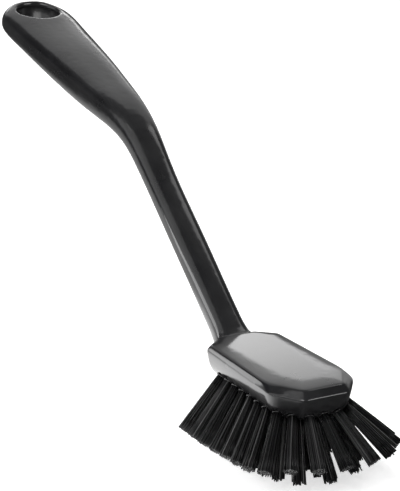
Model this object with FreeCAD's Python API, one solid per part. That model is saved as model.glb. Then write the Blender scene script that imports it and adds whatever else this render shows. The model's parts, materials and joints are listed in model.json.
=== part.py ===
import FreeCAD, Part
import math
import os

# Long-handled dish brush: one moulded body (head, shaft and grip), drilled from
# below, with folded bundles of bristles held in the holes by flat wire anchors.
# Lengths are in millimetres. While it is built, x = 0 is the line of the head's
# rear corners and z = 0 is the head's top edge; +X points to the head's front.

# Head outline at the top edge, each corner by its place and half width
head_length = 53.2
head_front_half_width = 7.9
head_taper_length = 12.2
head_side_half_width = 15.15
head_rear_half_width = 13.95
shoulder_depth = 5.8
shoulder_half_width = 6.9
front_corner_radius = 3.0
side_corner_radius = 14.0
rear_corner_radius = 2.4
shoulder_corner_radius = 2.0

# Crown of the top: it rises from the edge to a flat middle, over a strip that is
# broad along the front and sides and narrows to the rear
crown_rise = 0.5
crown_power = 2.5
crown_front_reach = 8.0
crown_rear_reach = 4.5
crown_shoulder_reach = 2.0
crown_steps = 5

# Lip where the bevel below the top edge meets the wall, by what it adds to the
# top: a broad bevel at the front that narrows along the sides to the rear
lip_front_drop = 2.65
lip_side_drop = 2.0
lip_rear_drop = 1.7
lip_front_overhang = 2.2
lip_front_widening = 0.7
lip_side_overhang = 1.35
lip_taper_length = 9.4
lip_rear_overhang = 0.7
lip_side_corner_radius = 8.0
top_edge_radius = 0.4

# Head thickness and the wall's inward lean and rounding down to the flat underside
head_thickness = 10.95
wall_draft = 0.8
hull_rounding = 4.6
hull_power = 2.8
hull_front_corner_radius = 7.0
hull_side_corner_radius = 10.0
hull_steps = 5

# Handle centreline: out of the head, up the shaft, over to the grip
neck_level = 5.62
neck_setback = 6.05
buried_run = 1.5
neck_rise_degrees = 14.0
neck_bend_radius = 30.8
shaft_run = 108.1
shaft_rise_degrees = 38.8
grip_bend_radius = 45.6
grip_run = 124.3
grip_rise_degrees = 15.5

# Handle sections: a rounded rectangle on the shaft, a fuller oval on the grip
shaft_width = 12.1
shaft_thickness = 8.8
root_width = 20.0
root_thickness = 6.4
grip_width = 33.4
grip_thickness = 14.2
end_thickness = 12.2
end_cap_length = 17.5
end_edge_length = 5.0
root_power = 5.0
shaft_power = 3.4
grip_power = 2.5
end_power = 2.15
section_points = 32
cap_steps = 7
cap_reach_share = 0.985
cap_thickness_share = 0.86

# Flare from shaft to root: place as a share of the way from the handle's buried
# start to the straight shaft, then the root's shares of width and of thickness there
root_flare_shares = (
    (0.0, 1.0, 1.0),
    (0.30, 0.98, 0.50),
    (0.52, 0.80, 0.12),
    (0.68, 0.46, 0.0),
    (0.85, 0.20, 0.0),
    (1.05, 0.06, 0.0),
    (1.4, 0.0, 0.0),
)

# Swell from shaft to grip: place as a share of the way from the straight shaft's
# start to the end cap, then the grip's shares of width and of thickness there
grip_swell_shares = (
    (0.20, 0.01, 0.00),
    (0.38, 0.03, 0.02),
    (0.46, 0.12, 0.16),
    (0.53, 0.27, 0.44),
    (0.62, 0.48, 0.80),
    (0.72, 0.68, 0.98),
    (0.83, 0.84, 1.00),
    (0.93, 0.96, 0.94),
)

# Hanging hole through the grip
hanging_hole_radius = 9.3
hanging_hole_setback = 14.4
hanging_rim_radius = 3.0

# Bristle rows: the outer row runs from the front centre round both sides on the
# wall's rounding; the inner, middle and rear rows stand on the flat underside
outer_row_turn_degrees = 60.0
outer_row_pitch = 5.55
inner_row_inset = 9.2
inner_row_pitch = 5.6
inner_row_width_share = 0.43
middle_row_inset = 14.9
middle_row_pitch = 5.6
rear_row_place = 1.4
rear_row_pitch = 6.2
rear_row_side_count = 1
rear_row_gap = 4.2

# Fan of the tufts: they stand upright at the fan's centre and lean outwards in
# proportion to their distance from it, the rows on the underside by a share of that
fan_centre = 3.5
fan_depth_along = 43.0
fan_depth_across = 14.4
inner_fan_along_share = 0.64
inner_fan_across_share = 0.9
outer_free_length = 23.3
inner_free_length = 25.0

# The outer row is trimmed shorter towards the head's front edge
front_trim = 3.0
front_trim_reach = 8.5

# One tuft, its blind hole and the flat wire anchor that its filaments fold over
tuft_root_radius = 1.6
tuft_tip_radius = 2.6
tuft_hole_depth = 5.2
hole_clearance = 0.1
anchor_thickness = 0.4
anchor_height = 1.6
anchor_bite = 0.25
anchor_seat = 1.0

# Cuts run past the faces they open by this much
cut_overrun = 4.0

# The top edge is found by its height, to within this
edge_tolerance = 0.001

crown_reaches = (crown_front_reach, crown_front_reach, crown_rear_reach, crown_shoulder_reach)
top_radii = (front_corner_radius, side_corner_radius, rear_corner_radius, shoulder_corner_radius)
lip_radii = (front_corner_radius, lip_side_corner_radius, rear_corner_radius, shoulder_corner_radius)
hull_radii = (
    hull_front_corner_radius, hull_side_corner_radius, rear_corner_radius, shoulder_corner_radius)
top_corners = (
    (head_length, head_front_half_width),
    (head_length - head_taper_length, head_side_half_width),
    (0.0, head_rear_half_width),
    (-shoulder_depth, shoulder_half_width),
)
lip_drops = (lip_front_drop, lip_side_drop, lip_rear_drop, lip_rear_drop)
lip_front = head_length + lip_front_overhang
lip_corners = (
    (lip_front, head_front_half_width + lip_front_widening),
    (lip_front - lip_taper_length, head_side_half_width + lip_side_overhang),
    (-lip_rear_overhang, head_rear_half_width + lip_side_overhang),
    (-shoulder_depth - lip_rear_overhang, shoulder_half_width + lip_side_overhang),
)


def unit(x, y):
    length = math.hypot(x, y)
    return x / length, y / length


def between(share, start, end):
    return start + (end - start) * share


def inset_corners(corners, inset):
    """Corners of the closed outline whose sides have moved inwards by inset."""
    points = list(corners) + [(x, -y) for x, y in reversed(corners)]
    moved = []
    for index, (x, y) in enumerate(points):
        last_x, last_y = points[index - 1]
        next_x, next_y = points[(index + 1) % len(points)]
        in_x, in_y = unit(x - last_x, y - last_y)
        out_x, out_y = unit(next_x - x, next_y - y)
        lean = 1 + in_x * out_x + in_y * out_y
        moved.append((x - inset * (in_y + out_y) / lean, y + inset * (in_x + out_x) / lean))
    return moved


def outline(corners, inset, heights, corner_radii):
    """A closed wire of straight sides and arcs from the front centre, its corners at the heights."""
    points = inset_corners(corners, inset)
    radii = tuple(corner_radii) + tuple(corner_radii)[::-1]
    levels = tuple(heights) + tuple(heights)[::-1]
    bends = []
    for index, (x, y) in enumerate(points):
        last_x, last_y = points[index - 1]
        next_x, next_y = points[(index + 1) % len(points)]
        in_x, in_y = unit(x - last_x, y - last_y)
        out_x, out_y = unit(next_x - x, next_y - y)
        half_turn = math.acos(in_x * out_x + in_y * out_y) / 2
        reach = radii[index] * math.tan(half_turn)
        sagitta = radii[index] * (1 / math.cos(half_turn) - 1)
        aim_x, aim_y = unit(out_x - in_x, out_y - in_y)
        start = FreeCAD.Vector(x - in_x * reach, y - in_y * reach, levels[index])
        apex = FreeCAD.Vector(x + aim_x * sagitta, y + aim_y * sagitta, levels[index])
        end = FreeCAD.Vector(x + out_x * reach, y + out_y * reach, levels[index])
        bends.append((start, apex, end))
    front_centre = (bends[-1][2] + bends[0][0]) / 2
    edges = []
    corner = front_centre
    for start, apex, end in bends:
        edges.append(Part.makeLine(corner, start))
        edges.append(Part.Arc(start, apex, end).toShape())
        corner = end
    edges.append(Part.makeLine(corner, front_centre))
    return Part.Wire(edges)


def hull_level(turn):
    """Inset from the lip, heights and corner radii of the wall where it has turned under by turn."""
    fall = math.sin(turn)
    inset = wall_draft * fall + hull_rounding * (1 - (1 - fall ** hull_power) ** (1 / hull_power))
    heights = [-drop - (head_thickness - drop) * fall for drop in lip_drops]
    radii = [between(fall, lip, hull) for lip, hull in zip(lip_radii, hull_radii)]
    return inset, heights, radii


def make_head():
    """Crowned top with a bevel down to the lip, then a wall that rounds under."""
    middle = [inset_corners(top_corners, reach)[index] for index, reach in enumerate(crown_reaches)]
    crown = []
    for step in range(crown_steps + 1):
        share = step / crown_steps
        corners = []
        for (inner_x, inner_y), (x, y) in zip(middle, top_corners):
            corners.append((between(share, inner_x, x), between(share, inner_y, y)))
        height = crown_rise * (1 - share ** crown_power)
        crown.append(outline(corners, 0, [height] * len(corners), top_radii))
    levels = []
    for step in range(hull_steps + 1):
        levels.append(outline(lip_corners, *hull_level(math.pi / 2 * step / hull_steps)))
    skins = (
        Part.makeLoft(crown, False, False),
        Part.makeLoft([crown[-1], levels[0]], False, True),
        Part.makeLoft(levels, False, False),
    )
    faces = [face for skin in skins for face in skin.Faces]
    shell = Part.makeShell(faces + [Part.Face(crown[0]), Part.Face(levels[-1])])
    shell.sewShape()
    head = Part.Solid(shell.Shells[0]).removeSplitter()
    top_edges = []
    for edge in head.Edges:
        box = edge.BoundBox
        if max(abs(box.ZMin), abs(box.ZMax)) < edge_tolerance:
            top_edges.append(edge)
    return head.makeFillet(top_edge_radius, top_edges).Solids[0]


class Centreline:
    """The handle's centreline in the XZ plane: three runs joined by two arcs."""

    def __init__(self):
        neck_rise = math.radians(neck_rise_degrees)
        shaft_rise = math.radians(shaft_rise_degrees)
        grip_rise = math.radians(grip_rise_degrees)
        neck_turn = shaft_rise - neck_rise
        neck_reach = neck_bend_radius * math.tan(neck_turn / 2)
        bend_turn = shaft_rise - grip_rise
        bend_reach = grip_bend_radius * math.tan(bend_turn / 2)
        self.x = (neck_reach + buried_run) * math.cos(neck_rise) - neck_setback
        self.z = -(neck_reach + buried_run) * math.sin(neck_rise) - neck_level
        # Each stretch: its length, its rise at the start and its change of rise
        self.stretches = (
            (buried_run, neck_rise, 0),
            (neck_bend_radius * neck_turn, neck_rise, neck_turn),
            (shaft_run - neck_reach - bend_reach, shaft_rise, 0),
            (grip_bend_radius * bend_turn, shaft_rise, -bend_turn),
            (grip_run - bend_reach, grip_rise, 0),
        )
        lengths = [stretch[0] for stretch in self.stretches]
        self.shaft_start = lengths[0] + lengths[1]
        self.length = sum(lengths)

    def at(self, distance):
        """Place and rise of the centreline at a distance from its buried start."""
        x, z = self.x, self.z
        left = distance
        for length, rise, turn in self.stretches:
            step = min(left, length)
            if turn == 0:
                x -= step * math.cos(rise)
                z += step * math.sin(rise)
            else:
                radius = length / turn
                new_rise = rise + turn * step / length
                x -= radius * (math.sin(new_rise) - math.sin(rise))
                z += radius * (math.cos(rise) - math.cos(new_rise))
                rise = new_rise
            left -= step
            if left <= 0:
                break
        return x, z, rise


centreline = Centreline()
cap_start = centreline.length - end_cap_length


def section(distance, width, thickness, power):
    """A rounded oval across the centreline, its seam along the underside."""
    x, z, rise = centreline.at(distance)
    points = []
    for index in range(section_points):
        turn = 2 * math.pi * index / section_points - math.pi / 2
        across = math.copysign(abs(math.cos(turn)) ** (2 / power), math.cos(turn)) * width / 2
        out = math.copysign(abs(math.sin(turn)) ** (2 / power), math.sin(turn)) * thickness / 2
        points.append(FreeCAD.Vector(x + out * math.sin(rise), across, z + out * math.cos(rise)))
    curve = Part.BSplineCurve()
    curve.interpolate(Points=points, PeriodicFlag=True)
    return Part.Wire(curve.toShape())


def cap_thickness(distance):
    """Thickness of the grip towards its end, before its edge is rounded off."""
    share = max(distance - cap_start, 0) / end_cap_length
    return between(share, between(cap_thickness_share, end_thickness, grip_thickness), end_thickness)


def make_handle():
    """One smooth loft from inside the head to the grip's rounded end."""
    sections = []
    for place, width_share, thickness_share in root_flare_shares:
        sections.append(section(
            place * centreline.shaft_start,
            between(width_share, shaft_width, root_width),
            between(thickness_share, shaft_thickness, root_thickness),
            between(width_share, shaft_power, root_power)))
    for place, width_share, thickness_share in grip_swell_shares:
        sections.append(section(
            between(place, centreline.shaft_start, cap_start),
            between(width_share, shaft_width, grip_width),
            between(thickness_share, shaft_thickness, grip_thickness),
            between(width_share, shaft_power, grip_power)))
    for step in range(cap_steps + 1):
        reach = math.sin(math.pi / 2 * step / cap_steps) * between(step / cap_steps, 1, cap_reach_share)
        distance = cap_start + end_cap_length * reach
        narrowing = (1 - reach ** end_power) ** (1 / end_power)
        past_edge = max(distance - centreline.length + end_edge_length, 0) / end_edge_length
        thinning = math.sqrt(1 - past_edge ** 2)
        sections.append(section(
            distance, grip_width * narrowing, cap_thickness(distance) * thinning, grip_power))
    return Part.makeLoft(sections, True, False)


def turned(profile):
    """A solid of revolution about Z from a closed profile in the XZ plane."""
    return Part.Face(profile).revolve(FreeCAD.Vector(0, 0, 0), FreeCAD.Vector(0, 0, 1), 360)


def make_hanging_hole():
    """Cutter for the hole across the grip, with a rounded mouth at each side."""
    distance = centreline.length - hanging_hole_setback
    mouth = cap_thickness(distance) / 2
    wide = hanging_hole_radius + hanging_rim_radius
    apex = wide - hanging_rim_radius * math.cos(math.pi / 4)
    apex_height = mouth - hanging_rim_radius * (1 - math.sin(math.pi / 4))
    reach = mouth + cut_overrun
    corners = [FreeCAD.Vector(radius, 0, height) for radius, height in (
        (wide, -mouth), (wide, -reach), (0, -reach), (0, reach), (wide, reach), (wide, mouth))]
    throat_top = FreeCAD.Vector(hanging_hole_radius, 0, mouth - hanging_rim_radius)
    throat_bottom = FreeCAD.Vector(hanging_hole_radius, 0, hanging_rim_radius - mouth)
    edges = [Part.makeLine(start, end) for start, end in zip(corners, corners[1:])]
    edges.append(Part.Arc(corners[-1], FreeCAD.Vector(apex, 0, apex_height), throat_top).toShape())
    edges.append(Part.makeLine(throat_top, throat_bottom))
    edges.append(Part.Arc(throat_bottom, FreeCAD.Vector(apex, 0, -apex_height), corners[0]).toShape())
    cutter = turned(Part.Wire(edges))
    x, z, rise = centreline.at(distance)
    cutter.Placement = FreeCAD.Placement(
        FreeCAD.Vector(x, 0, z), FreeCAD.Rotation(FreeCAD.Vector(0, 1, 0), math.degrees(rise)))
    return cutter


def row_along(path, pitch):
    """Places from the front centre back along a path and its mirror image, up to the rear row."""
    points = path.discretize(Distance=pitch)
    along = [(point.x, point.y, point.z) for point in points if point.x >= rear_row_place + rear_row_gap]
    side = [place for place in along if place[1] > 0]
    mirrored = [(x, -y, z) for x, y, z in reversed(side)]
    return mirrored + along[:1] + side


def outer_row():
    """Places round the head, on the rounding of its wall."""
    return row_along(outline(lip_corners, *hull_level(math.radians(outer_row_turn_degrees))), outer_row_pitch)


def inner_row():
    """Places along a narrower copy of the head's outline, set back from its front."""
    front = lip_front - inner_row_inset
    (_, front_width), (_, side_width), (rear, rear_width), _ = lip_corners
    corners = (
        (front, 0),
        (front, front_width * inner_row_width_share),
        (front - lip_taper_length * inner_row_width_share, side_width * inner_row_width_share),
        (rear, rear_width * inner_row_width_share),
    )
    path = Part.makePolygon([FreeCAD.Vector(x, y, -head_thickness) for x, y in corners])
    return row_along(path, inner_row_pitch)


def middle_row():
    """Places down the middle of the head, from the front back to the rear row."""
    front = lip_front - middle_row_inset
    count = int((front - rear_row_place - rear_row_gap) / middle_row_pitch) + 1
    return [(front - number * middle_row_pitch, 0, -head_thickness) for number in range(count)]


def rear_row():
    """Places across the head's rear, under the neck."""
    steps = range(-rear_row_side_count, rear_row_side_count + 1)
    return [(rear_row_place, step * rear_row_pitch, -head_thickness) for step in steps]


def tuft_placement(x, y, height, along_share, across_share):
    """Stand a tuft, drawn along +Z from its mouth, in its hole."""
    slope_along = along_share * (x - fan_centre) / fan_depth_along
    slope_across = across_share * y / fan_depth_across
    out = FreeCAD.Vector(slope_along, slope_across, -1.0).normalize()
    wide = FreeCAD.Vector(0, 1, 0).cross(out).normalize()
    turn = FreeCAD.Rotation(wide, out.cross(wide), out, "ZXY")
    return FreeCAD.Placement(FreeCAD.Vector(x, y, height), turn)


def make_anchor():
    """Flat wire across the hole, bitten into the wall at both ends."""
    width = 2 * (tuft_root_radius + hole_clearance + anchor_bite)
    corner = FreeCAD.Vector(-width / 2, -anchor_thickness / 2, anchor_seat - tuft_hole_depth)
    return Part.makeBox(width, anchor_thickness, anchor_height, corner)


def make_tuft(free_length):
    """A bundle that fills its hole, folds under the anchor and spreads to its tip."""
    corners = [FreeCAD.Vector(radius, 0, height) for radius, height in (
        (0, -tuft_hole_depth),
        (tuft_root_radius, -tuft_hole_depth),
        (tuft_root_radius, 0),
        (tuft_tip_radius, free_length),
        (0, free_length),
        (0, -tuft_hole_depth),
    )]
    return turned(Part.makePolygon(corners)).cut(make_anchor())


def trimmed(free_length, trim, x, front):
    """Free length of a tuft once its row is trimmed towards the row's front."""
    share = max(x - front + front_trim_reach, 0) / front_trim_reach
    return free_length - trim * share


def make_tuft_hole():
    """Blind hole with the two nicks that the anchor bites into its wall."""
    radius = tuft_root_radius + hole_clearance
    bore = Part.makeCylinder(
        radius, tuft_hole_depth + cut_overrun, FreeCAD.Vector(0, 0, -tuft_hole_depth))
    return bore.fuse(make_anchor())


def placed(shape, placement):
    copy = shape.copy()
    copy.Placement = placement
    return copy


# Every row by name, with its places, its shares of the fan, its free length and its trim
outer_fan_shares = (1, 1)
inner_fan_shares = (inner_fan_along_share, inner_fan_across_share)
rows = (
    ("outer", outer_row(), outer_fan_shares, outer_free_length, front_trim),
    ("inner", inner_row(), inner_fan_shares, inner_free_length, 0),
    ("middle", middle_row(), inner_fan_shares, inner_free_length, 0),
    ("rear", rear_row(), inner_fan_shares, inner_free_length, 0),
)
tufts = {}
holes = []
anchors = []
for row, places, fan_shares, free_length, trim in rows:
    front = max(x for x, y, height in places)
    for number, (x, y, height) in enumerate(places, 1):
        placement = tuft_placement(x, y, height, *fan_shares)
        tuft = make_tuft(trimmed(free_length, trim, x, front))
        tufts[f"{row}_tuft_{number:02d}"] = placed(tuft, placement)
        holes.append(placed(make_tuft_hole(), placement))
        anchors.append(placed(make_anchor(), placement))

body = make_handle().fuse(make_head()).removeSplitter()
body = body.cut([make_hanging_hole()] + holes)

pieces = {"brush_body": body, "bristle_anchors": Part.makeCompound(anchors)}
pieces.update(tufts)

# Set the brush down: the lowest bristle tip at z = 0, its box centred on x and y
whole = Part.makeCompound(list(pieces.values())).optimalBoundingBox(False, False)
shift = FreeCAD.Vector(-(whole.XMin + whole.XMax) / 2, -(whole.YMin + whole.YMax) / 2, -whole.ZMin)

os.makedirs("parts", exist_ok=True)
for name, shape in pieces.items():
    shape.translate(shift)
    shape.exportStep(f"parts/{name}.step")
    print(name, "solids", len(shape.Solids), "valid", shape.isValid(), "volume", round(shape.Volume, 1))
print("shift", [round(value, 3) for value in shift], "size", whole.XLength, whole.YLength, whole.ZLength)
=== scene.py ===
import bmesh
import bpy
import json
import math
import numpy as np
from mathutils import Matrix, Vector

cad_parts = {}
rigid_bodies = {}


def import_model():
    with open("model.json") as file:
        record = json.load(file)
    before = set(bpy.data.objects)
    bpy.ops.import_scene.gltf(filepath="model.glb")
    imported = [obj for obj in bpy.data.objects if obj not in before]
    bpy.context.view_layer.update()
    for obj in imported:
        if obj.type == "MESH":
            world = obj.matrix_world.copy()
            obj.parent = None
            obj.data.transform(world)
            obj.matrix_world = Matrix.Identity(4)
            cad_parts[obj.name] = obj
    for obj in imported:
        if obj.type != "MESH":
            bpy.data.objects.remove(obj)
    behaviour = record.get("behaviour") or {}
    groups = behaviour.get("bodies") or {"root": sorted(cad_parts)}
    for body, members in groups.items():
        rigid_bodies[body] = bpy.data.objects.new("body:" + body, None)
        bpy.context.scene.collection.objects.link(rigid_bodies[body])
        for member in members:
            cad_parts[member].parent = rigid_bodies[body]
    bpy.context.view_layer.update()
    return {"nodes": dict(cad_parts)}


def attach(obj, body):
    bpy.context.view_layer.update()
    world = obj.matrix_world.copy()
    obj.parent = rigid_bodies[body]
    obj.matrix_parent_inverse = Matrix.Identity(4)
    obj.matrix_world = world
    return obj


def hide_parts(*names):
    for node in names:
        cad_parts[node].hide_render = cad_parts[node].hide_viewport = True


for spare in list(bpy.data.objects):  # the start-up cube, lamp and camera
    bpy.data.objects.remove(spare)
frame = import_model()
scene = bpy.context.scene
scene.view_settings.view_transform = "Standard"
print("frame loaded:", len(frame["nodes"]), "nodes")


# One socket of a node tree. Sums with it add Math or Vector Math nodes, node() adds any other node.
class Wire:
    def __init__(self, tree, socket=None):
        self.tree = tree
        self.socket = socket

    def node(self, kind, settings=None, sockets=None, out=0):
        made = self.tree.nodes.new(kind)
        for name, value in (settings or {}).items():
            setattr(made, name, value)
        for name, value in (sockets or {}).items():
            if isinstance(value, Wire):
                self.tree.links.new(value.socket, made.inputs[name])
            else:
                made.inputs[name].default_value = value
        return Wire(self.tree, made.outputs[out]) if made.outputs else made

    def out(self, name):
        return Wire(self.tree, self.socket.node.outputs[name])

    def isVector(self, value):
        return isinstance(value, tuple) or isinstance(value, Wire) and value.socket.type == "VECTOR"

    def sum(self, operation, first, second):
        if self.isVector(first) and not self.isVector(second):
            return self.node("ShaderNodeVectorMath", {"operation": "SCALE"}, {0: first, "Scale": second})
        kind = "ShaderNodeVectorMath" if self.isVector(first) else "ShaderNodeMath"
        return self.node(kind, {"operation": operation}, {0: first, 1: second})

    def __add__(self, other):
        return self.sum("ADD", self, other)

    def __radd__(self, other):
        return self.sum("ADD", other, self)

    def __sub__(self, other):
        return self.sum("SUBTRACT", self, other)

    def __rsub__(self, other):
        return self.sum("SUBTRACT", other, self)

    def __mul__(self, other):
        return self.sum("MULTIPLY", self, other)

    def __rmul__(self, other):
        return self.sum("MULTIPLY", other, self)

    def __truediv__(self, other):
        return self.sum("DIVIDE", self, other)

    def __rtruediv__(self, other):
        return self.sum("DIVIDE", other, self)

    def __pow__(self, other):
        return self.sum("POWER", self, other)

    def __rpow__(self, other):
        return self.sum("POWER", other, self)

    def vector(self, operation, other=None):
        sockets = {0: self} if other is None else {0: self, 1: other}
        out = "Value" if operation in ("DOT_PRODUCT", "LENGTH") else "Vector"
        return self.node("ShaderNodeVectorMath", {"operation": operation}, sockets, out)

    def step(self, low, high):  # smooth rise from 0 at low to 1 at high
        return self.node("ShaderNodeMapRange", {"interpolation_type": "SMOOTHSTEP"},
                         {"Value": self, "From Min": low, "From Max": high})


def newMaterial(name):
    material = bpy.data.materials.new(name)
    material.use_nodes = True
    shader = material.node_tree.nodes["Principled BSDF"]
    return material, Wire(material.node_tree), shader


def wireTo(shader, name, wire):
    wire.tree.links.new(wire.socket, shader.inputs[name])


def noise(wire, coords, scale, detail=2.0, roughness=0.5):
    return wire.node("ShaderNodeTexNoise", {"noise_dimensions": "3D"},
                     {"Vector": coords, "Scale": scale, "Detail": detail, "Roughness": roughness}, "Fac")


def mixColour(wire, factor, first, second):
    return wire.node("ShaderNodeMix", {"data_type": "RGBA"}, {0: factor, 6: first, 7: second}, 2)


# Black moulded polypropylene: clean, glossy, a little mottled, with a very fine mould grain
polypropylene = {
    "dark": (0.009, 0.009, 0.010, 1.0),
    "light": (0.015, 0.015, 0.016, 1.0),
    "roughnessLow": 0.26,
    "roughnessHigh": 0.30,
    "mottle": {"scale": 90.0, "detail": 3.0, "edges": (0.35, 0.65)},
    "scuffs": {"stretch": (60.0, 240.0, 240.0), "scale": 6.0, "detail": 4.0, "roughness": 0.7,
               "edges": (0.56, 0.72), "dulling": 0.04},
    "grainSize": 0.0006,
    "grainHeight": 0.000004,
    "coatRoughness": 0.10,
    "coatIor": 1.7,
}


def makePolypropylene():
    p = polypropylene
    material, w, shader = newMaterial("blackPolypropylene")
    coords = w.node("ShaderNodeTexCoord", out="Object")
    m, s = p["mottle"], p["scuffs"]
    mottle = noise(w, coords, m["scale"], m["detail"])
    scuffs = noise(w, coords * s["stretch"], s["scale"], s["detail"], s["roughness"]).step(*s["edges"])
    wireTo(shader, "Base Color", mixColour(w, mottle.step(*m["edges"]), p["dark"], p["light"]))
    rough = p["roughnessLow"] + mottle * (p["roughnessHigh"] - p["roughnessLow"])
    wireTo(shader, "Roughness", rough + scuffs * s["dulling"])
    grain = noise(w, coords, 1 / p["grainSize"])
    bump = w.node("ShaderNodeBump", {}, {"Height": grain, "Distance": p["grainHeight"], "Strength": 1.0})
    wireTo(shader, "Normal", bump)
    shader.inputs["Coat Weight"].default_value = 1.0
    shader.inputs["Coat Roughness"].default_value = p["coatRoughness"]
    shader.inputs["Coat IOR"].default_value = p["coatIor"]
    return material


# Black polyester filament: each one has a shade and gloss of its own, and a few are painted pale grey as
# painted highlight lines;
# the cut ends are paler than the sides
filament = {
    "dark": (0.004, 0.004, 0.004, 1.0),
    "light": (0.014, 0.014, 0.015, 1.0),
    "paintedHighlightGrey": (0.10, 0.10, 0.10, 1.0),
    "paintedHighlightShare": 0.15,
    "roughnessRoot": 0.10,
    "roughnessTip": 0.16,
    "roughnessSpread": 0.35,
    "ior": 1.6,
    "shadeByTone": 0.7,
    "shadeByTip": 0.3,
    "tipEdges": (0.8, 1.0),
    "cutDark": (0.01, 0.01, 0.01, 1.0),
    "cutLight": (0.40, 0.40, 0.40, 1.0),
    "cutByTone": 0.6,
    "cutRoughness": 0.45,
    "cutRoughnessSpread": 0.2,
    "speckleScale": 2400.0,
}


def attribute(w, name):
    return w.node("ShaderNodeAttribute", {"attribute_name": name}, out="Fac")


def makeFilament():
    p = filament
    material, w, shader = newMaterial("blackPolyester")
    along = attribute(w, "along")
    tone = attribute(w, "tone")
    shade = tone * p["shadeByTone"] + along.step(*p["tipEdges"]) * p["shadeByTip"]
    black = mixColour(w, shade, p["dark"], p["light"])
    # painted highlight: a share of the filaments is painted pale grey in place of the highlight lines that
    # light would draw
    wireTo(shader, "Base Color", mixColour(w, tone.step(1 - p["paintedHighlightShare"], 1.0), black, p["paintedHighlightGrey"]))
    rough = p["roughnessRoot"] + along * (p["roughnessTip"] - p["roughnessRoot"])
    wireTo(shader, "Roughness", rough + tone * p["roughnessSpread"])
    shader.inputs["IOR"].default_value = p["ior"]
    return material


def makeCutEnd():
    p = filament
    material, w, shader = newMaterial("cutPolyester")
    coords = w.node("ShaderNodeTexCoord", out="Object")
    speckle = noise(w, coords, p["speckleScale"])
    shade = attribute(w, "tone") * p["cutByTone"] + speckle * (1 - p["cutByTone"])
    wireTo(shader, "Base Color", mixColour(w, shade, p["cutDark"], p["cutLight"]))
    wireTo(shader, "Roughness", p["cutRoughness"] + speckle * p["cutRoughnessSpread"])
    return material


# Drawn wire of the anchors
steel = {
    "dark": (0.50, 0.50, 0.48, 1.0),
    "light": (0.66, 0.66, 0.64, 1.0),
    "stretch": (300.0, 300.0, 6000.0),
    "roughness": 0.28,
    "roughnessSpread": 0.16,
}


def makeSteel():
    p = steel
    material, w, shader = newMaterial("anchorSteel")
    coords = w.node("ShaderNodeTexCoord", out="Object")
    drawn = noise(w, coords * p["stretch"], 1.0)
    wireTo(shader, "Base Color", mixColour(w, drawn, p["dark"], p["light"]))
    wireTo(shader, "Roughness", p["roughness"] + drawn * p["roughnessSpread"])
    shader.inputs["Metallic"].default_value = 1.0
    return material


blackPlastic = makePolypropylene()
blackFilament = makeFilament()
cutFilament = makeCutEnd()
anchorSteel = makeSteel()
print("materials ready")


def link(name, mesh):
    piece = bpy.data.objects.new(name, mesh)
    scene.collection.objects.link(piece)
    return piece


# The moulding: a fine even skin over the solid, so that each sharp edge gets the small radius a mould leaves
body = {
    "voxel": 0.00054,
    "softening": 4,
    "softeningFactor": 0.5,
    "mergeReach": 1e-6,
}


def makeBody():
    mesh = frame["nodes"]["brush_body"].data.copy()
    merged = bmesh.new()
    merged.from_mesh(mesh)
    bmesh.ops.remove_doubles(merged, verts=merged.verts, dist=body["mergeReach"])
    merged.to_mesh(mesh)
    merged.free()
    piece = link("brushBody", mesh)
    skin = piece.modifiers.new("skin", "REMESH")
    skin.mode = "VOXEL"
    skin.voxel_size = body["voxel"]
    skin.use_smooth_shade = True
    soften = piece.modifiers.new("soften", "SMOOTH")
    soften.factor = body["softeningFactor"]
    soften.iterations = body["softening"]
    return piece


def asMesh(piece):
    bpy.context.view_layer.update()
    made = bpy.data.meshes.new_from_object(piece.evaluated_get(bpy.context.evaluated_depsgraph_get()))
    piece.modifiers.clear()
    piece.data = made
    return piece


brushBody = asMesh(makeBody())
brushBody.data.materials.clear()
brushBody.data.materials.append(blackPlastic)
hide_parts("brush_body")
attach(brushBody, "root")
print("body:", len(brushBody.data.polygons), "faces")

frame["nodes"]["bristle_anchors"].data.materials.clear()
frame["nodes"]["bristle_anchors"].data.materials.append(anchorSteel)


# A tuft: it stands on the line from the middle of its buried end to the middle of its tip
tuft = {
    "holeDepth": 0.0052,
    "rootRadius": 0.00140,
    "tipRadius": 0.00235,
    "filaments": 46,
    "filamentRadius": 0.00022,
    "seatDepth": 0.0015,
    "skew": 0.10,
    "skewed": (0.114, 0.120),
    "shortened": (0.2, 1.2),
    "packingTurn": 2.399963,
    "turnByPlace": (9000.0, 7000.0, 0.0),
    "strays": (0.90, 1.0),
    "strayGain": 5,
    "sides": 6,
    "segments": 4,
    "ringReach": 1e-4,
}


def ringMiddle(points, along, level):
    ring = points[np.abs(along - level) < tuft["ringReach"]]
    return np.unique(ring.round(6), axis=0).mean(axis=0)


def tuftLine(node):
    points = np.array([corner.co for corner in frame["nodes"][node].data.vertices])
    middle = points.mean(axis=0)
    axis = np.linalg.svd(points - middle, full_matrices=False)[2][0]
    axis = axis if axis[2] < 0 else -axis
    along = (points - middle) @ axis
    tip = ringMiddle(points, along, along.max())
    end = ringMiddle(points, along, along.min())
    length = np.linalg.norm(tip - end)
    axis = (tip - end) / length
    return end + axis * tuft["holeDepth"], axis, length - tuft["holeDepth"]


def tuftPoints(name, lines):
    mesh = bpy.data.meshes.new(name)
    mesh.from_pydata([line[0] for line in lines], [], [])
    axes = mesh.attributes.new("tuftAxis", "FLOAT_VECTOR", "POINT")
    axes.data.foreach_set("vector", np.array([line[1] for line in lines], np.float32).ravel())
    lengths = mesh.attributes.new("freeLength", "FLOAT", "POINT")
    lengths.data.foreach_set("value", np.array([line[2] for line in lines], np.float32))
    return link(name, mesh)


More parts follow.
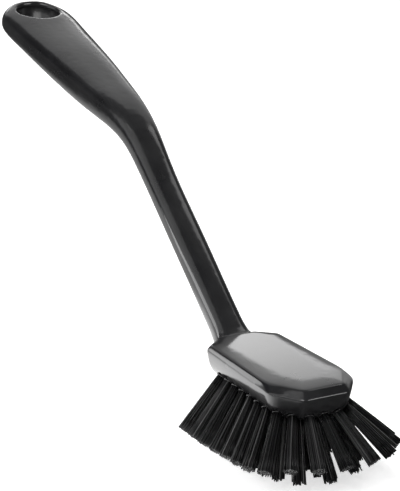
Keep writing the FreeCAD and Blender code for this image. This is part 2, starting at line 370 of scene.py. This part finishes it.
def newTree(name, inputs):
    tree = bpy.data.node_groups.new(name, "GeometryNodeTree")
    tree.interface.new_socket("Geometry", in_out="INPUT", socket_type="NodeSocketGeometry")
    for label, kind in inputs:
        tree.interface.new_socket(label, in_out="INPUT", socket_type="NodeSocket" + kind)
    tree.interface.new_socket("Geometry", in_out="OUTPUT", socket_type="NodeSocketGeometry")
    given = tree.nodes.new("NodeGroupInput")
    wires = {socket.name: Wire(tree, socket) for socket in given.outputs if socket.name}
    return tree, Wire(tree), wires


def closeTree(tree, geometry):
    tree.links.new(geometry.socket, tree.nodes.new("NodeGroupOutput").inputs[0])


def useTree(piece, tree, values):
    modifier = piece.modifiers.new(tree.name, "NODES")
    modifier.node_group = tree
    for item in tree.interface.items_tree:
        if item.in_out == "INPUT" and item.name in values:
            modifier[item.identifier] = values[item.name]
    return asMesh(piece)


def named(w, name, kind):
    return w.node("GeometryNodeInputNamedAttribute", {"data_type": kind}, {"Name": name})


def keep(w, geometry, name, kind, value, domain="POINT"):
    return w.node("GeometryNodeStoreNamedAttribute", {"data_type": kind, "domain": domain},
                  {"Geometry": geometry, "Name": name, "Value": value})


def anyVector(w, seed, reach):
    return w.node("FunctionNodeRandomValue", {"data_type": "FLOAT_VECTOR"},
                  {0: (-reach, -reach, -reach), 1: (reach, reach, reach), "Seed": seed}, 0)


def anyFloat(w, seed, low, high):
    return w.node("FunctionNodeRandomValue", {"data_type": "FLOAT"}, {2: low, 3: high, "Seed": seed}, 1)


# A tuft of straight filaments from each point, packed like seeds at the root and spread at the tip
def bristleTree():
    tree, w, given = newTree("bristles", (
        ("Filaments", "Int"), ("Root radius", "Float"), ("Tip radius", "Float"), ("Filament radius", "Float"),
        ("Seat depth", "Float"), ("Length scatter", "Float"), ("Tip scatter", "Float"), ("Bow", "Float"),
        ("Trim share", "Float"), ("Skew", "Float"), ("Seed", "Int")))
    copies = w.node("GeometryNodeDuplicateElements", {"domain": "POINT"},
                    {"Geometry": given["Geometry"], "Amount": given["Filaments"]})
    number = copies.out("Duplicate Index")
    axis = named(w, "tuftAxis", "FLOAT_VECTOR")
    place = w.node("GeometryNodeInputPosition")
    reach = ((number + 0.5) / given["Filaments"]) ** 0.5
    turn = number * tuft["packingTurn"] + place.vector("DOT_PRODUCT", tuft["turnByPlace"])
    side = axis.vector("CROSS_PRODUCT", (0.0, 1.0, 0.0)).vector("NORMALIZE")
    other = axis.vector("CROSS_PRODUCT", side)
    cosine = w.node("ShaderNodeMath", {"operation": "COSINE"}, {0: turn})
    sine = w.node("ShaderNodeMath", {"operation": "SINE"}, {0: turn})
    spread = side * (cosine * reach) + other * (sine * reach)
    start = place - axis * given["Seat depth"] + spread * given["Root radius"]
    shortened = anyFloat(w, given["Seed"], *tuft["shortened"]) * given["Length scatter"]
    free = named(w, "freeLength", "FLOAT") - shortened
    ahead = w.node("ShaderNodeSeparateXYZ", {}, {0: place}, "X").step(*tuft["skewed"])
    free = free + w.node("ShaderNodeSeparateXYZ", {}, {0: place}, "Y") * ahead * given["Skew"]
    down = 0 - w.node("ShaderNodeSeparateXYZ", {}, {0: axis}, "Z")
    lean = given["Tip radius"] * given["Trim share"] / down
    level = w.node("ShaderNodeSeparateXYZ", {}, {0: spread}, "Z")
    level = level - axis.vector("CROSS_PRODUCT", (0.0, 0.0, 1.0)).vector("LENGTH")
    stray = anyFloat(w, given["Seed"] + 4, 0.0, 1.0).step(*tuft["strays"]) * tuft["strayGain"] + 1
    wander = anyVector(w, given["Seed"] + 1, 1.0) * (given["Tip scatter"] * stray)
    tip = place + axis * (free + level * lean) + spread * given["Tip radius"] + wander
    roots = keep(w, copies, "run", "FLOAT_VECTOR", tip - start)
    roots = keep(w, roots, "bowing", "FLOAT_VECTOR", anyVector(w, given["Seed"] + 2, 1.0) * given["Bow"])
    roots = keep(w, roots, "tone", "FLOAT", anyFloat(w, given["Seed"] + 3, 0.0, 1.0))
    roots = w.node("GeometryNodeSetPosition", {}, {"Geometry": roots, "Position": start})
    rod = w.node("GeometryNodeMeshCylinder", {"fill_type": "NGON"},
                 {"Vertices": tuft["sides"], "Side Segments": tuft["segments"], "Radius": 1.0, "Depth": 1.0})
    smooth = w.node("GeometryNodeSetShadeSmooth", {"domain": "FACE"},
                    {"Geometry": rod, "Selection": rod.out("Side"), "Shade Smooth": True})
    cut = keep(w, smooth, "cut", "BOOLEAN", rod.out("Top"), "FACE")
    raised = w.node("GeometryNodeTransform", {}, {"Geometry": cut, "Translation": (0.0, 0.0, 0.5)})
    height = w.node("ShaderNodeSeparateXYZ", {}, {0: w.node("GeometryNodeInputPosition")}, "Z")
    raised = keep(w, raised, "along", "FLOAT", height)
    run = named(w, "run", "FLOAT_VECTOR")
    thick = given["Filament radius"]
    scale = w.node("ShaderNodeCombineXYZ", {}, {"X": thick, "Y": thick, "Z": run.vector("LENGTH")})
    aim = w.node("FunctionNodeAlignRotationToVector", {"axis": "Z"}, {"Vector": run})
    rods = w.node("GeometryNodeInstanceOnPoints", {},
                  {"Points": roots, "Instance": raised, "Rotation": aim, "Scale": scale})
    solid = w.node("GeometryNodeRealizeInstances", {}, {"Geometry": rods})
    along = named(w, "along", "FLOAT")
    bend = named(w, "bowing", "FLOAT_VECTOR") * (along * (1 - along) * 4)
    solid = w.node("GeometryNodeSetPosition", {}, {"Geometry": solid, "Offset": bend})
    solid = w.node("GeometryNodeSetMaterial", {}, {"Geometry": solid, "Material": blackFilament})
    solid = w.node("GeometryNodeSetMaterial", {}, {"Geometry": solid, "Material": cutFilament,
                                                   "Selection": named(w, "cut", "BOOLEAN")})
    closeTree(tree, solid)
    return tree


# The outer row is neatly cut; the rows behind it are more uneven
unevenRow = {"Length scatter": 0.0016, "Tip scatter": 0.00020, "Bow": 0.00030, "Trim share": 0.10}
rows = {
    "outer": {"Length scatter": 0.0003, "Tip scatter": 0.00010, "Bow": 0.00012, "Trim share": 0.05,
              "Seed": 11},
    "inner": {**unevenRow, "Seed": 23},
    "middle": {**unevenRow, "Seed": 37},
    "rear": {**unevenRow, "Seed": 41},
}
bristles = bristleTree()
mouths = []
for row, values in rows.items():
    nodes = sorted(name for name in frame["nodes"] if name.startswith(row + "_tuft_"))
    lines = [tuftLine(node) for node in nodes]
    mouths += lines
    piece = tuftPoints(row + "Bristles", lines)
    values.update({"Filaments": tuft["filaments"], "Root radius": tuft["rootRadius"],
                   "Tip radius": tuft["tipRadius"], "Filament radius": tuft["filamentRadius"],
                   "Seat depth": tuft["seatDepth"], "Skew": tuft["skew"]})
    useTree(piece, bristles, values)
    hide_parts(*nodes)
    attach(piece, "root")
    print(row, "bristles:", len(nodes), "tufts,", len(piece.data.polygons), "faces")


# The rim that stapling raises round each hole
collar = {
    "radius": 0.00176,
    "thickness": 0.00022,
    "sink": 0.00008,
    "sizeLow": 0.97,
    "sizeHigh": 1.05,
    "seed": 5,
    "ringPoints": 14,
    "profilePoints": 6,
}


def collarTree():
    tree, w, given = newTree("collars", (
        ("Radius", "Float"), ("Thickness", "Float"), ("Sink", "Float"), ("Size low", "Float"),
        ("Size high", "Float"), ("Seed", "Int")))
    ring = w.node("GeometryNodeCurvePrimitiveCircle", {"mode": "RADIUS"},
                  {"Resolution": collar["ringPoints"], "Radius": given["Radius"]})
    profile = w.node("GeometryNodeCurvePrimitiveCircle", {"mode": "RADIUS"},
                     {"Resolution": collar["profilePoints"], "Radius": given["Thickness"]})
    rim = w.node("GeometryNodeCurveToMesh", {}, {"Curve": ring, "Profile Curve": profile})
    rim = w.node("GeometryNodeSetShadeSmooth", {}, {"Geometry": rim, "Shade Smooth": True})
    axis = named(w, "tuftAxis", "FLOAT_VECTOR")
    aim = w.node("FunctionNodeAlignRotationToVector", {"axis": "Z"}, {"Vector": axis})
    sunk = w.node("GeometryNodeSetPosition", {}, {"Geometry": given["Geometry"],
                                                  "Offset": axis * (0 - given["Sink"])})
    size = anyFloat(w, given["Seed"], given["Size low"], given["Size high"])
    rims = w.node("GeometryNodeInstanceOnPoints", {},
                  {"Points": sunk, "Instance": rim, "Rotation": aim, "Scale": size})
    solid = w.node("GeometryNodeRealizeInstances", {}, {"Geometry": rims})
    solid = w.node("GeometryNodeSetMaterial", {}, {"Geometry": solid, "Material": blackPlastic})
    closeTree(tree, solid)
    return tree


collars = tuftPoints("tuftCollars", mouths)
useTree(collars, collarTree(), {
    "Radius": collar["radius"], "Thickness": collar["thickness"], "Sink": collar["sink"],
    "Size low": collar["sizeLow"], "Size high": collar["sizeHigh"], "Seed": collar["seed"]})
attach(collars, "root")
print("collars:", len(collars.data.polygons), "faces")


# White paper under the brush, with painted pools of light that only the gloss sees: bright beside the head
# and fading away from there
floor = {
    "reach": 6.0,
    "drop": 0.0002,
    "colour": (0.86, 0.86, 0.86, 1.0),
    "roughness": 0.9,
    "specular": 0.1,
    "cameraGlow": {"near": 0.62, "far": 0.95, "reach": (0.2, 1.4)},
    "far": 0.06,
    # painted light for glossy rays: a wide pool and a near pool beside the head, with a faint painted glow
    # beyond them
    "wide": {"light": 0.50, "middle": (-0.06, -0.10, 0.0), "reach": (0.20, 0.55)},
    "near": {"light": 0.98, "middle": (0.02, -0.05, 0.0), "reach": (0.05, 0.12)},
    "away": (-0.6, -0.8, 0.0),
    "frontEdge": (-0.045, -0.010),
}


def makeFloor():
    mesh = bpy.data.meshes.new("floor")
    reach, level = floor["reach"], -floor["drop"]
    corners = [(side * reach, end * reach, level) for side, end in ((-1, -1), (1, -1), (1, 1), (-1, 1))]
    mesh.from_pydata(corners, [], [(0, 1, 2, 3)])
    piece = link("floor", mesh)
    material, w, shader = newMaterial("paper")
    shader.inputs["Base Color"].default_value = floor["colour"]
    shader.inputs["Roughness"].default_value = floor["roughness"]
    shader.inputs["Specular IOR Level"].default_value = floor["specular"]
    path = w.node("ShaderNodeLightPath")
    coords = w.node("ShaderNodeTexCoord", out="Object")
    # painted light: pools of light painted on the paper for glossy rays only, and painted shade in front of
    # the head
    paintedPools = 0
    for pool in (floor["wide"], floor["near"]):
        away = (coords - pool["middle"]).vector("LENGTH")
        paintedPools = paintedPools + (1 - away.step(*pool["reach"])) * pool["light"]
    behind = coords.vector("DOT_PRODUCT", floor["away"]).step(*floor["frontEdge"])
    paintedGlossLight = w.node("ShaderNodeEmission", {}, {"Strength": paintedPools * behind + floor["far"]})
    glow = floor["cameraGlow"]
    glow = glow["near"] + coords.vector("LENGTH").step(*glow["reach"]) * (glow["far"] - glow["near"])
    cameraGlow = w.node("ShaderNodeEmission", {}, {"Strength": path * glow})
    lit = w.node("ShaderNodeAddShader", {}, {0: Wire(w.tree, shader.outputs[0]), 1: cameraGlow})
    seen = w.node("ShaderNodeMixShader", {}, {0: path.out("Is Glossy Ray"), 1: lit, 2: paintedGlossLight})
    w.tree.links.new(seen.socket, w.tree.nodes["Material Output"].inputs["Surface"])
    mesh.materials.append(material)


# Studio walls as the gloss sees them, in degrees: turn from straight behind the brush to the picture's left,
# and rise from the horizon; each wall fades in between the first two and out between the last two
studio = {
    "behind": (-0.887, 0.462, 0.0),
    "left": (-0.462, -0.887, 0.0),
    "dim": 0.055,
    "walls": (
        {"light": 2.60, "turn": (-18, 1, 16, 36), "rise": (15, 18.5, 19.5, 23)},
        {"light": 0.40, "turn": (-40, -30, -14, -4), "rise": (-2, 4, 19, 24)},
        {"light": 0.15, "turn": (-30, -15, 12, 30), "rise": (20, 24, 30, 36)},
        {"light": 0.30, "turn": (-45, -28, 34, 44), "rise": (20, 26, 53, 57)},
        {"light": 0.95, "turn": (-68, -64, -42, -36), "rise": (44, 50, 58, 62)},
        {"light": 2.40, "turn": (-135, -130, -100, -95), "rise": (12, 16, 26, 29)},
        {"light": 2.40, "turn": (138, 150, 180, 181), "rise": (21, 26, 38, 44)},
        {"light": 0.40, "turn": (68, 76, 95, 120), "rise": (68, 72, 82, 86)},
        {"light": 0.48, "turn": (80, 88, 125, 150), "rise": (-90, -89, 40, 70)},
        {"light": 0.30, "turn": (75, 95, 165, 180), "rise": (50, 60, 88, 89)},
        {"light": -0.05, "turn": (36, 44, 76, 86), "rise": (20, 25, 44, 50)},
    ),
}


def makeWorld():
    world = bpy.data.worlds.new("studio")
    world.use_nodes = True
    scene.world = world
    w = Wire(world.node_tree)
    direction = w.node("ShaderNodeTexCoord", out="Generated")
    height = w.node("ShaderNodeSeparateXYZ", {}, {0: direction}, "Z")
    rise = w.node("ShaderNodeMath", {"operation": "ARCSINE"}, {0: height}) * math.degrees(1)
    turn = w.node("ShaderNodeMath", {"operation": "ARCTAN2"}, {
        0: direction.vector("DOT_PRODUCT", studio["left"]),
        1: direction.vector("DOT_PRODUCT", studio["behind"])}) * math.degrees(1)
    light = studio["dim"]
    for wall in studio["walls"]:
        share = wall["light"]
        for angle, (first, second, third, fourth) in ((turn, wall["turn"]), (rise, wall["rise"])):
            share = share * angle.step(first, second) * (1 - angle.step(third, fourth))
        light = light + share
    seen = w.node("ShaderNodeLightPath", out="Is Camera Ray")
    strength = light * (1 - seen) + seen
    background = world.node_tree.nodes["Background"]
    background.inputs["Color"].default_value = (1.0, 1.0, 1.0, 1.0)
    w.tree.links.new(strength.socket, background.inputs["Strength"])


# A small white card beside the head, seen only in the gloss of its left bevel
card = {
    "light": 2.1,
    "corners": (
        (-0.030, -0.047, 0.046), (0.060, -0.047, 0.024),
        (0.060, -0.047, 0.060), (-0.030, -0.047, 0.068)),
}


def makeCard():
    mesh = bpy.data.meshes.new("card")
    mesh.from_pydata(card["corners"], [], [(0, 1, 2, 3)])
    piece = link("card", mesh)
    material, w, _ = newMaterial("whiteCard")
    glow = w.node("ShaderNodeEmission", {}, {"Strength": card["light"]})
    w.tree.links.new(glow.socket, w.tree.nodes["Material Output"].inputs["Surface"])
    mesh.materials.append(material)
    piece.visible_camera = False
    piece.visible_diffuse = False
    piece.visible_shadow = False


# Soft lamps that light the paper and the matt surfaces; the walls above make the reflections
lamps = {
    "topLamp": {"place": (-0.10, -0.20, 1.10), "aim": (0.03, -0.03, 0.0), "size": (0.8, 0.8), "power": 9.0},
    "frontLamp": {"place": (0.55, -0.85, 0.50), "aim": (0.06, 0.0, 0.03), "size": (0.5, 0.5), "power": 4.0},
}


def addLamp(name, place, aim, size, power):
    data = bpy.data.lights.new(name, "AREA")
    data.shape = "RECTANGLE"
    data.size, data.size_y = size
    data.energy = power
    lamp = link(name, data)
    lamp.location = place
    lamp.rotation_mode = "QUATERNION"
    lamp.rotation_quaternion = (Vector(aim) - Vector(place)).to_track_quat("-Z", "Y")
    lamp.visible_glossy = False


makeFloor()
makeWorld()
makeCard()
for name, lamp in lamps.items():
    addLamp(name, lamp["place"], lamp["aim"], lamp["size"], lamp["power"])
print("studio ready")


# The photograph's camera: where it stands, its turn round the brush and its height, in degrees
shot = {
    "place": (0.4981, -0.2408, 0.2100),
    "azimuth": 62.52,
    "elevation": 15.82,
    "lens": 106.3,
    "sensorWidth": 36.0,
}


def makeCamera():
    data = bpy.data.cameras.new("camera")
    data.sensor_width = shot["sensorWidth"]
    data.lens = shot["lens"]
    camera = link("camera", data)
    turn, rise = math.radians(shot["azimuth"]), math.radians(shot["elevation"])
    back = Vector((math.sin(turn) * math.cos(rise), -math.cos(turn) * math.cos(rise), math.sin(rise)))
    camera.location = shot["place"]
    camera.rotation_mode = "QUATERNION"
    camera.rotation_quaternion = (-back).to_track_quat("-Z", "Y")
    scene.camera = camera


makeCamera()
